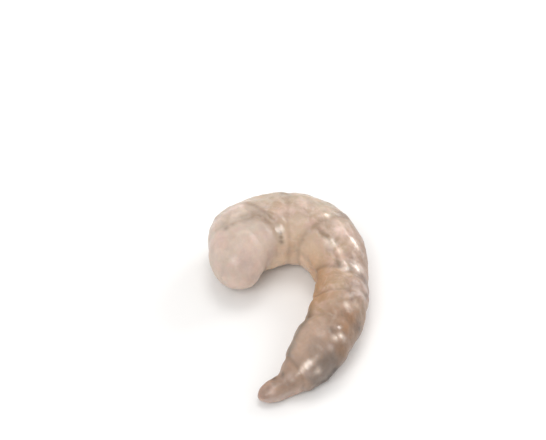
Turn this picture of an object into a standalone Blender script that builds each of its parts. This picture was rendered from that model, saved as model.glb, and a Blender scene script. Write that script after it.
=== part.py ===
"""Raw peeled tiger prawn, curled, lying on its right flank.

One solid: headless body, five segments, a longer sixth segment and a bare tail stub.
Lengths are written in millimetres and turned into metres where the mesh is made.
The body is a tube of rings along a curled centreline that lies parallel to the ground.
w is the distance along that centreline, angle 0 is the back, 90 the upper flank,
180 the belly on the inside of the curl and 270 the flank the prawn rests on.
"""
import bmesh
import bpy
import numpy as np

MM = 0.001

# Driving dimensions
HEADING = 44.7          # direction of the centreline at the cut end, degrees from +X
FRONT_BULGE = 11.3      # how far the cut end swells ahead of the first ring
FRONT_DROP = 5.2        # how far the middle of the cut end is set toward the belly
FRONT_ARC = 15.0        # surface length from the first ring to the middle of the cut end
TAIL_BULGE = 7.1        # rounded point of the tail stub
TAIL_ARC = 7.0
SINK = 0.5              # soft flesh settled into a flat patch where it rests
SQUARENESS = 2.15       # exponent of the cross-section, 2 would be an ellipse

# Body pieces from the cut end to the tail: length, bend in degrees, half depth and
# width ratio (flank to flank over back to belly) at the far end of the piece
FIRST_HALF_DEPTH = 9.9
FIRST_RATIO = 0.88
PIECES = (
    ("collar", 13.2, 37.1, 9.9, 0.89),
    ("second", 11.7, 54.4, 9.0, 0.90),
    ("third", 15.0, 43.8, 6.9, 0.94),
    ("fourth", 8.8, 11.2, 7.0, 0.99),
    ("fifth", 9.9, 14.5, 6.8, 1.00),
    ("sixth_front", 4.7, 5.4, 6.9, 0.98),
    ("sixth_rear", 8.8, 19.4, 4.9, 0.92),
    ("tail_stub", 3.8, 7.5, 3.0, 0.86),
)

# Rim round the cut face: angle and place along the body
RIM = ((0, -6.6), (22, -5.4), (42, -4.6), (57, -3.6), (69, -2.6), (78, -1.4), (85, 0.2),
       (89, 1.9), (93.5, 3.6), (99, 5.0), (106, 6.2), (115, 7.2), (130, 8.1), (146, 8.4),
       (163, 8.0), (176, 7.0), (186, 5.6), (196, 3.4), (216, -0.6), (255, -4.8),
       (300, -7.2), (330, -7.6), (360, -6.6))
RIM_DEPTH = 0.9
RIM_WIDTH = 1.5
RIM_FAINT = 0.25        # strength on the back, where the rim is hardly to be seen
RIM_CLEAR = 0.65        # added on the upper flank, between these two angles
RIM_CLEAR_FROM = 72
RIM_CLEAR_TO = 152
RIM_FADE = 10           # degrees over which the rim grows clear and fades
COLLAR_LIP = 0.45       # height of the lip, its distance behind the rim and its width
LIP_BEHIND = 2.6
LIP_WIDTH = 1.3
FACE_CUSHION = 0.35     # the cut end swells by this, from this far before the rim
CUSHION_BEFORE = 3.0
CUSHION_EDGE = 0.7

# Joints between segments: place, bow along the body from back to belly,
# depth at the back, depth at the belly, width
JOINTS = (
    ("first_second", 14.4, 0.6, 0.14, 0.10, 1.2),
    ("second_third", 25.6, 1.4, 0.10, 0.24, 1.2),
    ("third_fourth", 40.8, 3.3, 0.12, 0.45, 1.1),
    ("fourth_fifth", 48.6, -2.0, 0.10, 0.45, 1.0),
    ("fifth_sixth", 57.7, -1.8, 0.12, 0.16, 1.2),
    ("sixth_tail", 72.6, 0.5, 0.34, 0.40, 1.0),
)
OVERLAP_HEIGHT = 0.35   # swelling before a joint, as a part of the joint's depth
OVERLAP_BEFORE = 1.9
OVERLAP_WIDTH = 1.2

# Long furrow on the flank: place along the body, angle, depth
FLANK_FURROW = ((24.4, 112, 0.05), (26.2, 111, 0.32), (28.6, 111, 0.40), (30.4, 107, 0.36),
                (31.8, 108, 0.12), (34.6, 105, 0.18), (37.0, 103, 0.30), (39.6, 99, 0.38),
                (41.5, 86, 0.22), (48.0, 82, 0.10), (57.0, 86, 0.08), (66.0, 92, 0.03))
FURROW_WIDTH = 0.9

# Ridge along the sixth segment, where flank and back meet: place and angle
SIXTH_RIDGE = ((62.0, 45), (64.5, 49), (66.4, 53), (68.2, 57), (69.6, 60), (71.0, 62), (73.0, 63))
RIDGE_HEIGHT = 0.20
RIDGE_WIDTH = 1.9
RIDGE_FADE = 0.25       # part of its length over which each end rises

# Leg-root swellings in pairs on the belly: place, height, radius
LEG_ROOTS = ((10.5, 0.35, 3.2), (21.0, 0.30, 3.0), (33.0, 0.40, 3.0), (44.6, 0.55, 2.8),
             (53.4, 0.30, 2.8), (63.0, 0.15, 3.0))
LEG_ROOT_ANGLE = 32     # degrees to each side of the middle of the belly
BELLY_GROOVE = 0.6
BELLY_GROOVE_WIDTH = 1.4
BELLY_GROOVE_ENDS = (6.0, 68.0)
BELLY_GROOVE_FADE = 8.0
BACK_KEEL = 0.22        # height, half width in radians, first and last place, their fades
KEEL_WIDTH = 0.30
KEEL_ENDS = (46.0, 68.0)
KEEL_FADES = (3.0, 2.0)
SEGMENT_SWELL = 0.16
UNEVENNESS = 0.14

# Mesh fineness, and samples of each curve that relief is measured from
RINGS = 108
POINTS_ROUND = 50
CURVE_SAMPLES = 160
SPINE_SAMPLES = 900
JOINT_CROWD = 0.8       # how much closer the rings stand at a joint, and over what length
JOINT_CROWD_LENGTH = 1.9
RIM_CROWD = 0.9         # the same round the rim, and the middle of its place
RIM_CROWD_LENGTH = 5.0
RIM_CROWD_PLACE = 5.0
STRAIGHT_PLACE = 8.0    # before this place, and this far behind the body, rings don't lean
STRAIGHT_BEHIND = 2.0


def smooth_table(places, values, at):
    """Smooth curve through a table of values, with no sharp change of slope."""
    places = np.asarray(places, float)
    values = np.asarray(values, float)
    step = np.diff(places)
    slope = np.diff(values) / step
    middle = (slope[:-1] * step[1:] + slope[1:] * step[:-1]) / (step[:-1] + step[1:])
    tangent = np.concatenate(([slope[0]], middle, [slope[-1]]))
    k = np.clip(np.searchsorted(places, at, side="right") - 1, 0, len(places) - 2)
    t = (at - places[k]) / step[k]
    ease = t * t * (3 - 2 * t)
    return (values[k] * (1 - ease) + values[k + 1] * ease
            + tangent[k] * step[k] * t * (1 - t) ** 2
            - tangent[k + 1] * step[k] * t * t * (1 - t))


def joint_places():
    """Places along the body where one piece of the table ends and the next begins."""
    return np.concatenate(([0.0], np.cumsum([piece[1] for piece in PIECES])))


BODY_LENGTH = float(joint_places()[-1])


def spine(w):
    """Centre (x, y) and heading of the centreline at distance w."""
    places = joint_places()
    turned = np.concatenate(([0.0], np.cumsum([piece[2] for piece in PIECES])))
    fine = np.linspace(0.0, BODY_LENGTH, SPINE_SAMPLES)
    heading = np.radians(HEADING - smooth_table(places, turned, fine))
    step = fine[1]
    x = np.concatenate(([0.0], np.cumsum((np.cos(heading)[1:] + np.cos(heading)[:-1]) / 2 * step)))
    y = np.concatenate(([0.0], np.cumsum((np.sin(heading)[1:] + np.sin(heading)[:-1]) / 2 * step)))
    inside = np.clip(w, 0.0, BODY_LENGTH)
    return np.interp(inside, fine, x), np.interp(inside, fine, y), np.interp(inside, fine, heading)


def half_sizes(w):
    """Half depth (back to belly) and half width (flank to flank) at distance w."""
    places = joint_places()
    inside = np.clip(w, 0.0, BODY_LENGTH)
    depth = smooth_table(places, [FIRST_HALF_DEPTH] + [piece[3] for piece in PIECES], inside)
    ratio = smooth_table(places, [FIRST_RATIO] + [piece[4] for piece in PIECES], inside)
    return depth, depth * ratio


def smooth_body(w, angle):
    """Points of the body without relief; w and angle are arrays of one shape."""
    x, y, heading = spine(w)
    depth, width = half_sizes(w)
    front = np.clip(-w / FRONT_ARC, 0.0, 1.0) * np.pi / 2
    rear = np.clip((w - BODY_LENGTH) / TAIL_ARC, 0.0, 1.0) * np.pi / 2
    forward = TAIL_BULGE * np.sin(rear) - FRONT_BULGE * np.sin(front)
    close = np.cos(front) * np.cos(rear)
    c = np.cos(angle)
    k = np.sin(angle)
    r = (np.abs(c) ** SQUARENESS + np.abs(k) ** SQUARENESS) ** (-1 / SQUARENESS)
    across = depth * close * r * c - FRONT_DROP * np.sin(front)
    px = x + forward * np.cos(heading) - across * np.sin(heading)
    py = y + forward * np.sin(heading) + across * np.cos(heading)
    pz = width - SINK + width * close * r * k
    return np.stack((px, py, pz), axis=-1)


def nearest(points, curve):
    """Distance from every point to a curve given as close samples, and the sample met."""
    best = np.full(points.shape[:-1], 1e9)
    met = np.zeros(points.shape[:-1], int)
    for i, sample in enumerate(curve):
        d = np.linalg.norm(points - sample, axis=-1)
        closer = d < best
        best = np.where(closer, d, best)
        met = np.where(closer, i, met)
    return best, met


def bell(distance, width):
    """1 on the line, falling smoothly to nearly 0 two widths away."""
    return np.exp(-(distance / width) ** 2)


def rising(distance, width):
    """0 well before the place, a half on it and 1 well after it."""
    return 1 / (1 + np.exp(-distance / width))


def drawn(first, second):
    """Samples of a smooth curve drawn through the rows of two equally long tables."""
    rows = np.arange(len(first))
    between = np.linspace(0, len(first) - 1, CURVE_SAMPLES)
    return smooth_table(rows, first, between), smooth_table(rows, second, between)


def rim_relief(points, w, angle):
    """Valley round the cut face, a raised lip behind it and a full cushion before it."""
    turned, place = drawn([row[0] for row in RIM], [row[1] for row in RIM])
    distance, met = nearest(points, smooth_body(place, np.radians(turned)))
    degrees = np.degrees(angle) % 360
    side = np.where(w > np.interp(degrees, turned, place), distance, -distance)
    strength = RIM_FAINT + (RIM_CLEAR * rising(degrees - RIM_CLEAR_FROM, RIM_FADE)
                            * rising(RIM_CLEAR_TO - degrees, RIM_FADE))
    valley = -RIM_DEPTH * bell(side, RIM_WIDTH)
    lip = COLLAR_LIP * bell(side - LIP_BEHIND, LIP_WIDTH)
    cushion = FACE_CUSHION * rising(-CUSHION_BEFORE - side, CUSHION_EDGE)
    return strength * (valley + lip) + cushion


def joint_relief(points, w, angle):
    """Shallow grooves where one segment overlaps the next, deeper toward the belly."""
    total = np.zeros(w.shape)
    fine = np.linspace(0, 2 * np.pi, CURVE_SAMPLES)
    belly = 0.5 - 0.5 * np.cos(fine)
    for name, place, bow, at_back, at_belly, width in JOINTS:
        curve = smooth_body(place + bow * np.cos(fine), fine)
        distance, met = nearest(points, curve)
        depth = at_back + (at_belly - at_back) * belly[met]
        behind = np.where(w > place + bow * np.cos(angle), distance, -distance)
        total -= depth * bell(distance, width)
        total += OVERLAP_HEIGHT * depth * bell(behind + OVERLAP_BEFORE, OVERLAP_WIDTH)
    return total


def furrow_relief(points):
    """Long furrow between the back muscle and the flank muscle, both sides."""
    place, turn, depth = np.array(FLANK_FURROW, float).T
    fine = np.linspace(place[0], place[-1], CURVE_SAMPLES)
    along = smooth_table(place, turn, fine)
    deep = np.interp(fine, place, depth)
    total = np.zeros(points.shape[:-1])
    for turned in (along, 360 - along):
        distance, met = nearest(points, smooth_body(fine, np.radians(turned)))
        total -= deep[met] * bell(distance, FURROW_WIDTH)
    return total


def ridge_relief(points):
    """Low ridge on the upper flank of the sixth segment, fading out at both ends."""
    place, turned = drawn([row[0] for row in SIXTH_RIDGE], [row[1] for row in SIXTH_RIDGE])
    distance, met = nearest(points, smooth_body(place, np.radians(turned)))
    part = np.linspace(0, 1, CURVE_SAMPLES)
    fade = np.clip(np.minimum(part, 1 - part) / RIDGE_FADE, 0, 1)
    return RIDGE_HEIGHT * fade[met] * bell(distance, RIDGE_WIDTH)


def belly_relief(points):
    """Groove down the middle of the belly with pairs of leg-root swellings beside it."""
    total = np.zeros(points.shape[:-1])
    for place, height, radius in LEG_ROOTS:
        for turn in (180.0 - LEG_ROOT_ANGLE, 180.0 + LEG_ROOT_ANGLE):
            centre = smooth_body(np.array(place), np.radians(np.array(turn)))
            total += height * bell(np.linalg.norm(points - centre, axis=-1), radius)
    first, last = BELLY_GROOVE_ENDS
    fine = np.linspace(first, last, CURVE_SAMPLES)
    distance, met = nearest(points, smooth_body(fine, np.full(fine.shape, np.pi)))
    fade = np.clip(np.minimum(fine - first, last - fine) / BELLY_GROOVE_FADE, 0, 1)
    total -= BELLY_GROOVE * fade[met] * bell(distance, BELLY_GROOVE_WIDTH)
    return total


def back_relief(w, angle):
    """Low keel on the rear of the back and a gentle swell of each segment."""
    first, last = KEEL_ENDS
    rear = rising(w - first, KEEL_FADES[0]) * rising(last - w, KEEL_FADES[1])
    off_back = (angle + np.pi) % (2 * np.pi) - np.pi
    keel = BACK_KEEL * rear * bell(off_back, KEEL_WIDTH)
    places = np.array([-FRONT_ARC, 0.0] + [row[1] for row in JOINTS] + [BODY_LENGTH + TAIL_ARC])
    phase = np.interp(w, places, np.arange(len(places)))
    swell = SEGMENT_SWELL * (0.5 - 0.5 * np.cos(2 * np.pi * phase)) * (0.5 + 0.5 * np.cos(angle))
    return keel + swell


def uneven(points):
    """Soft irregular ups and downs of flesh, from a few crossing waves."""
    x, y, z = points[..., 0], points[..., 1], points[..., 2]
    waves = (np.sin(0.62 * x + 0.31 * y + 0.9) * np.sin(0.55 * z + 0.27 * x + 0.4)
             + 0.7 * np.sin(0.93 * y - 0.41 * x + 2.1) * np.sin(0.83 * z - 0.36 * y + 1.3)
             + 0.5 * np.sin(1.35 * x + 1.07 * y + 0.3) * np.sin(1.21 * z + 0.8 * x + 2.6))
    return UNEVENNESS * waves


def outward(points):
    """Unit normals of a grid of rings, pointing out of the body."""
    along = np.gradient(points, axis=0)
    around = np.roll(points, -1, axis=1) - np.roll(points, 1, axis=1)
    normal = np.cross(around, along)
    size = np.linalg.norm(normal, axis=-1, keepdims=True)
    return normal / np.maximum(size, 1e-9)


def ring_places():
    """Ring places from front to rear, packed closer at the joints and the rim."""
    fine = np.linspace(-FRONT_ARC, BODY_LENGTH + TAIL_ARC, SPINE_SAMPLES)
    crowd = np.ones(fine.shape)
    for name, place, bow, at_back, at_belly, width in JOINTS:
        crowd += JOINT_CROWD * bell(fine - place, JOINT_CROWD_LENGTH)
    crowd += RIM_CROWD * bell(fine - RIM_CROWD_PLACE, RIM_CROWD_LENGTH)
    total = np.concatenate(([0.0], np.cumsum((crowd[1:] + crowd[:-1]) / 2)))
    spaced = np.interp(np.linspace(0, total[-1], RINGS + 2), total, fine)
    return spaced[1:-1]


def bowed(w, angle):
    """Ring places that lean with the joints, so grooves run along the mesh."""
    places = [-FRONT_ARC, STRAIGHT_PLACE] + [row[1] for row in JOINTS]
    places.append(BODY_LENGTH + STRAIGHT_BEHIND)
    bows = [0.0, 0.0] + [row[2] for row in JOINTS] + [0.0]
    return w + np.interp(w, places, bows) * np.cos(angle)


def prawn_points():
    """Grid of rings with relief, and the two end points."""
    angle = np.linspace(0.0, 2 * np.pi, POINTS_ROUND, endpoint=False)
    w, turn = np.meshgrid(ring_places(), angle, indexing="ij")
    w = bowed(w, turn)
    base = smooth_body(w, turn)
    relief = (rim_relief(base, w, turn) + joint_relief(base, w, turn) + furrow_relief(base)
              + ridge_relief(base) + belly_relief(base) + back_relief(w, turn) + uneven(base))
    grid = base + relief[..., None] * outward(base)
    front = smooth_body(np.array(-FRONT_ARC), np.array(0.0))
    rear = smooth_body(np.array(BODY_LENGTH + TAIL_ARC), np.array(0.0))
    x, y, heading = spine(np.array(0.0))
    front = front - FACE_CUSHION * np.array((np.cos(heading), np.sin(heading), 0.0))
    return grid, front, rear


def build_prawn():
    """The one solid, closed at both ends, flattened where it lies on the ground."""
    grid, front, rear = prawn_points()
    rings, around = grid.shape[:2]
    points = np.vstack((grid.reshape(-1, 3), front, rear))
    points[:, 2] = np.maximum(points[:, 2], 0.0)
    low = points.min(axis=0)
    high = points.max(axis=0)
    points -= np.array(((low[0] + high[0]) / 2, (low[1] + high[1]) / 2, 0.0))
    print("size in mm", (high - low).round(1))

    faces = []
    for i in range(rings - 1):
        for j in range(around):
            k = (j + 1) % around
            a, b = i * around + j, i * around + k
            faces.append((a, b, b + around, a + around))
    first = rings * around
    last = (rings - 1) * around
    for j in range(around):
        k = (j + 1) % around
        faces.append((first, k, j))
        faces.append((first + 1, last + j, last + k))

    mesh = bpy.data.meshes.new("prawn")
    mesh.from_pydata((points * MM).tolist(), [], faces)
    work = bmesh.new()
    work.from_mesh(mesh)
    bmesh.ops.recalc_face_normals(work, faces=work.faces)
    bmesh.ops.triangulate(work, faces=work.faces, quad_method="SHORT_EDGE")
    work.to_mesh(mesh)
    work.free()
    for polygon in mesh.polygons:
        polygon.use_smooth = True
    thing = bpy.data.objects.new("prawn", mesh)
    bpy.context.collection.objects.link(thing)
    return thing


def flesh_material():
    """Damp translucent greyish-pink raw flesh."""
    material = bpy.data.materials.new("raw_flesh")
    material.use_nodes = True
    shader = material.node_tree.nodes["Principled BSDF"]
    shader.inputs["Base Color"].default_value = (0.58, 0.43, 0.34, 1.0)
    shader.inputs["Roughness"].default_value = 0.28
    return material


for thing in list(bpy.data.objects):
    bpy.data.objects.remove(thing, do_unlink=True)

prawn = build_prawn()
prawn.data.materials.append(flesh_material())
print("prawn", len(prawn.data.polygons), "triangles")
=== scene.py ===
# %% [markdown]
# # A raw tiger prawn, peeled and curled
#
# The object is one soft thing: the tail meat of a prawn without head, legs or shell.
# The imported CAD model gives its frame: where it lies, how big it is, and how it curls.
# Here that plain solid is replaced by one finely shaped surface of the same form, with
# wet, slightly see-through flesh. Everything is worked out from named sizes, so a
# reader can change one number and see what it does.

import math

import bpy
import numpy as np
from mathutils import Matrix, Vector


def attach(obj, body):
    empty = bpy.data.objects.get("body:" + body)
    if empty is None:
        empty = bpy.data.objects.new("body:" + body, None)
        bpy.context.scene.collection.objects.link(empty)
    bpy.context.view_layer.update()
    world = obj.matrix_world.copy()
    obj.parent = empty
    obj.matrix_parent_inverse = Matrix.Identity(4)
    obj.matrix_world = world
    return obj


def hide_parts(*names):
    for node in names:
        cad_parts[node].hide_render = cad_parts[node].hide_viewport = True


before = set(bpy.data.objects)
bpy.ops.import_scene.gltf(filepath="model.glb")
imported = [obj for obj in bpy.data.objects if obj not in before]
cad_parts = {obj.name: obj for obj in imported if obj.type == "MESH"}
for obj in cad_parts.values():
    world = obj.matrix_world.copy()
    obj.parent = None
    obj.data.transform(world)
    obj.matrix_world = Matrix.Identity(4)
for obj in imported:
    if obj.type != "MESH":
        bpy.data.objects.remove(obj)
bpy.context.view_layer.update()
MM = 0.001

# %% [markdown]
# ## The centreline and the sizes along it
#
# A peeled prawn is a tube whose middle line curls like a hook. The line is described
# segment by segment, the way a cook would name them: how long each piece is, how much
# it bends, and how thick it is at its far end. A smooth curve is then drawn through
# that short table. `w` is the distance in millimetres along the line, counted from the
# front of the first segment. The angle goes round the body: 0 is the back, 90 the
# upper flank, 180 the belly inside the curl, and 270 the flank it lies on.

# %% Sizes of the body
HEADING = 44.7
FRONT_BULGE = 11.3
FRONT_DROP = 5.2
FRONT_ARC = 15.0
TAIL_BULGE = 7.1
TAIL_ARC = 7.0
SPINE_SAMPLES = 900
SINK = 0.5
SQUARENESS = 2.15
FIRST_HALF_DEPTH = 9.9
FIRST_RATIO = 0.88

# Name, length, bend in degrees, half depth and width ratio at the far end
PIECES = (
    ("collar", 13.2, 37.1, 9.9, 0.89),
    ("second", 11.7, 54.4, 9.0, 0.90),
    ("third", 15.0, 43.8, 6.9, 0.94),
    ("fourth", 8.8, 11.2, 7.0, 0.99),
    ("fifth", 9.9, 14.5, 6.8, 1.00),
    ("sixth_front", 4.7, 5.4, 6.9, 0.98),
    ("sixth_rear", 8.8, 19.4, 4.9, 0.92),
    ("tail_stub", 3.8, 7.5, 3.0, 0.86),
)
PLACES = np.concatenate(([0.0], np.cumsum([piece[1] for piece in PIECES])))
BODY_LENGTH = float(PLACES[-1])
print("centreline", round(BODY_LENGTH, 1), "mm, bends",
      round(sum(piece[2] for piece in PIECES)), "degrees in all")


# %% A smooth curve through a short table
def smooth_table(places, values, at):
    """Cubic between table rows; each row's slope is the mean of its neighbours' slopes."""
    places = np.asarray(places, float)
    values = np.asarray(values, float)
    step = np.diff(places)
    slope = np.diff(values) / step
    middle = (slope[:-1] * step[1:] + slope[1:] * step[:-1]) / (step[:-1] + step[1:])
    tangent = np.concatenate(([slope[0]], middle, [slope[-1]]))
    k = np.clip(np.searchsorted(places, at, side="right") - 1, 0, len(places) - 2)
    t = (at - places[k]) / step[k]
    ease = t * t * (3 - 2 * t)
    return (values[k] * (1 - ease) + values[k + 1] * ease
            + tangent[k] * step[k] * t * (1 - t) ** 2
            - tangent[k + 1] * step[k] * t * t * (1 - t))


def add_up(rate, step):
    """Running total: the mean of each two neighbours times the step between them."""
    return np.concatenate(([0.0], np.cumsum((rate[1:] + rate[:-1]) / 2 * step)))


def spine(w):
    """Add up short steps, each in the direction the table of bends gives there."""
    bends = np.concatenate(([0.0], np.cumsum([piece[2] for piece in PIECES])))
    fine = np.linspace(0.0, BODY_LENGTH, SPINE_SAMPLES)
    heading = np.radians(HEADING - smooth_table(PLACES, bends, fine))
    x = add_up(np.cos(heading), fine[1])
    y = add_up(np.sin(heading), fine[1])
    inside = np.clip(w, 0.0, BODY_LENGTH)
    return np.interp(inside, fine, x), np.interp(inside, fine, y), np.interp(inside, fine, heading)


print("tail end at", [round(float(v), 1) for v in spine(np.array(BODY_LENGTH))[:2]], "mm")


# %% [markdown]
# ## The smooth body
#
# The skin is a profile carried along the centreline. The profile is a slightly squared
# oval (a superellipse), because the muscle packs out the corners of the shell it grew
# in. Both ends are closed by shrinking the oval with a cosine while its centre moves on
# with a sine, which draws a quarter of an ellipse: a full cushion in front, a rounded
# point behind.

# %% Smooth body surface
def smooth_body(w, angle):
    """Centre + depth * c * (across) + width * s * (up), with |c|^n + |s|^n = 1.

    Past the ends the oval shrinks with cos and its centre moves on with sin.
    """
    x, y, heading = spine(w)
    inside = np.clip(w, 0.0, BODY_LENGTH)
    depth = smooth_table(PLACES, [FIRST_HALF_DEPTH] + [p[3] for p in PIECES], inside)
    width = depth * smooth_table(PLACES, [FIRST_RATIO] + [p[4] for p in PIECES], inside)
    front = np.clip(-w / FRONT_ARC, 0.0, 1.0) * np.pi / 2
    rear = np.clip((w - BODY_LENGTH) / TAIL_ARC, 0.0, 1.0) * np.pi / 2
    forward = TAIL_BULGE * np.sin(rear) - FRONT_BULGE * np.sin(front)
    close = np.cos(front) * np.cos(rear)
    c, s = np.cos(angle), np.sin(angle)
    r = (np.abs(c) ** SQUARENESS + np.abs(s) ** SQUARENESS) ** (-1 / SQUARENESS)
    across = depth * close * r * c - FRONT_DROP * np.sin(front)
    return np.stack((x + forward * np.cos(heading) - across * np.sin(heading),
                     y + forward * np.sin(heading) + across * np.cos(heading),
                     width - SINK + width * close * r * s), axis=-1)


def outward(points):
    """Unit normals of a grid of rings: the step round the ring crossed with the step along."""
    along = np.gradient(points, axis=0)
    around = np.roll(points, -1, axis=1) - np.roll(points, 1, axis=1)
    normal = np.cross(around, along)
    return normal / np.maximum(np.linalg.norm(normal, axis=-1, keepdims=True), 1e-9)


RINGS = 424
POINTS_ROUND = 228
w_line = np.linspace(-FRONT_ARC, BODY_LENGTH + TAIL_ARC, RINGS + 2)[1:-1]
angle_line = np.linspace(0.0, 2 * np.pi, POINTS_ROUND, endpoint=False)
W, A = np.meshgrid(w_line, angle_line, indexing="ij")
base = smooth_body(W, A)
print("grid", base.shape[:2], "steps along of", round(float(w_line[1] - w_line[0]), 2), "mm")

# %% [markdown]
# ## Creases
#
# Raw flesh is divided by creases: a rim where the cut end bulges out of the first
# segment, grooves where one segment tucks under the next, and a long furrow between
# the back muscle and the flank muscle. Each is a line drawn on the smooth body. For
# every point of the surface the distance to the line is measured in space, and the
# skin is pushed in by a bell curve of that distance. Distances in space stay right
# even where the belly is squeezed together inside the curl.

# %% Distance from the surface to a line on it
def nearest(points, curve):
    """Smallest distance to the samples of a curve, and which sample is nearest."""
    best = np.full(points.shape[:-1], 1e9)
    met = np.zeros(points.shape[:-1], int)
    for i, sample in enumerate(curve):
        d = np.sqrt(((points - sample) ** 2).sum(axis=-1))
        closer = d < best
        best = np.where(closer, d, best)
        met = np.where(closer, i, met)
    return best, met


def distance_from(place, angle):
    """Distance of every point of the surface from one point of the body."""
    centre = smooth_body(np.array(float(place)), np.radians(np.array(float(angle))))
    return np.sqrt(((base - centre) ** 2).sum(axis=-1))


def bell(distance, width):
    """exp(-(distance / width) squared): 1 on the line, nearly 0 two widths away."""
    return np.exp(-(distance / width) ** 2)


def rising(distance, width):
    """1 / (1 + exp(-distance / width)): 0 well before the place, 1 well after it."""
    return 1 / (1 + np.exp(-distance / width))


def smooth_line(table, count):
    """Samples of a smooth curve through rows of two numbers, and how far along each is."""
    row = np.linspace(0, len(table) - 1, count)
    first, second = (smooth_table(np.arange(len(table)), column, row) for column in zip(*table))
    return first, second, row / (len(table) - 1)


def fading(part, start, end):
    """Rises from 0 to 1 in the first 1/start of a line and falls in its last 1/end."""
    return np.clip(np.minimum(part * start, (1 - part) * end), 0, 1)


# %% Rim round the cut end
# Angle round the body and place along it
RIM = ((0, -6.6), (22, -5.4), (42, -4.6), (57, -3.6), (69, -2.6), (78, -1.4), (85, 0.2),
       (89, 1.9), (93.5, 3.6), (99, 5.0), (106, 6.2), (115, 7.2), (130, 8.1), (146, 8.4),
       (163, 8.0), (176, 7.0), (186, 5.6), (196, 3.4), (216, -0.6), (255, -4.8),
       (300, -7.2), (330, -7.6), (360, -6.6))
RIM_DEPTH = 0.9
RIM_WIDTH = 1.5
RIM_SAMPLES = 420
# The rim is faint all round and clear only between two angles on the upper flank
RIM_FAINT = 0.25
RIM_CLEAR = 0.65
RIM_CLEAR_FROM = 72
RIM_CLEAR_TO = 152
RIM_FADE = 10
COLLAR_LIP = 0.45
COLLAR_LIP_BEHIND = 2.6
COLLAR_LIP_WIDTH = 1.3
FACE_CUSHION = 0.35
FACE_CUSHION_INSIDE = 3.0
FACE_CUSHION_FADE = 0.7

rim_angle, rim_place, _ = smooth_line(RIM, RIM_SAMPLES)
rim_line = smooth_body(rim_place, np.radians(rim_angle))
rim_distance, _ = nearest(base, rim_line)
degrees = np.degrees(A)
rim_side = np.where(W > np.interp(degrees, rim_angle, rim_place), rim_distance, -rim_distance)
rim_strength = RIM_FAINT + (RIM_CLEAR * rising(degrees - RIM_CLEAR_FROM, RIM_FADE)
                            * rising(RIM_CLEAR_TO - degrees, RIM_FADE))
rim_relief = (rim_strength * (COLLAR_LIP * bell(rim_side - COLLAR_LIP_BEHIND, COLLAR_LIP_WIDTH)
                              - RIM_DEPTH * bell(rim_side, RIM_WIDTH))
              + FACE_CUSHION * rising(-FACE_CUSHION_INSIDE - rim_side, FACE_CUSHION_FADE))
print("rim line", round(float(np.linalg.norm(np.diff(rim_line, axis=0), axis=1).sum())), "mm long")

# %% Joints between the segments
# Name, place, lean from back to belly, depth at the back, depth at the belly, width
JOINTS = (
    ("first_second", 14.4, 0.6, 0.14, 0.10, 1.2),
    ("second_third", 25.6, 1.4, 0.10, 0.24, 1.2),
    ("third_fourth", 40.8, 3.3, 0.12, 0.45, 1.1),
    ("fourth_fifth", 48.6, -2.0, 0.10, 0.45, 1.0),
    ("fifth_sixth", 57.7, -1.8, 0.12, 0.16, 1.2),
    ("sixth_tail", 72.6, 0.5, 0.34, 0.40, 1.0),
)
JOINT_SAMPLES = 121
# Dark crease in the groove, painted as shade; soft swelling and band of pigment just before it
CREASE_LEAST = 0.3
CREASE_SHARE = 0.55
SWELL_SHARE = 0.35
SWELL_BEFORE = 1.9
SWELL_WIDTH = 1.2
BAND_BEFORE = 1.3
BAND_WIDTH = 1.5
joint_relief = np.zeros(W.shape)
joint_crease = np.zeros(W.shape)
joint_band = np.zeros(W.shape)
turn = np.radians(np.linspace(0, 360, JOINT_SAMPLES))
for name, place, lean, at_back, at_belly, width in JOINTS:
    distance, met = nearest(base, smooth_body(place + lean * np.cos(turn), turn))
    depth = at_back + (at_belly - at_back) * (0.5 - 0.5 * np.cos(turn))[met]
    behind = np.where(W > place + lean * np.cos(A), distance, -distance)
    swell = SWELL_SHARE * depth * bell(behind + SWELL_BEFORE, SWELL_WIDTH)
    joint_relief += swell - depth * bell(distance, width)
    shade = (CREASE_LEAST + depth) * bell(distance, CREASE_SHARE * width)
    joint_crease = np.maximum(joint_crease, shade)
    joint_band = np.maximum(joint_band, bell(behind + BAND_BEFORE, BAND_WIDTH))
print("joints", len(JOINTS), "deepest", round(float(-joint_relief.min()), 2), "mm")

# %% Furrow along the flank
# Place along the body, angle, depth
FURROW = ((24.4, 112, 0.05), (26.2, 111, 0.30), (28.6, 111, 0.38), (30.4, 107, 0.34),
          (31.8, 108, 0.10), (34.6, 105, 0.16), (37.0, 103, 0.28), (39.6, 99, 0.36),
          (41.5, 86, 0.20), (48.0, 82, 0.10), (57.0, 86, 0.08), (66.0, 92, 0.03))
FURROW_WIDTH = 0.8
FURROW_SAMPLES = 160
furrow_places, furrow_angles, furrow_depths = np.array(FURROW, float).T
furrow_fine = np.linspace(furrow_places[0], furrow_places[-1], FURROW_SAMPLES)
furrow_turn = smooth_table(furrow_places, furrow_angles, furrow_fine)
furrow_deep = np.interp(furrow_fine, furrow_places, furrow_depths)
furrow_relief = np.zeros(W.shape)
for side in (furrow_turn, 360 - furrow_turn):
    distance, met = nearest(base, smooth_body(furrow_fine, np.radians(side)))
    furrow_relief -= furrow_deep[met] * bell(distance, FURROW_WIDTH)
print("furrow", round(float(furrow_fine[-1] - furrow_fine[0])), "mm long on each flank")

# %% [markdown]
# ## Edge of the collar, ridge of the sixth segment
#
# The collar's skin ends in a thin step where it laps over the cut end: nothing before
# the line, a quick rise on it, a slow fall behind it. The sixth segment has a blunt
# ridge where its flank and its back meet. Both are lines on the body too.

# %% Collar edge and ridge
# Place along the body and angle
COLLAR_EDGE = ((4.6, 51), (5.2, 58), (5.8, 70), (6.6, 82), (7.4, 94), (8.2, 105),
               (8.8, 112), (9.2, 118))
COLLAR_SAMPLES = 120
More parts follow.
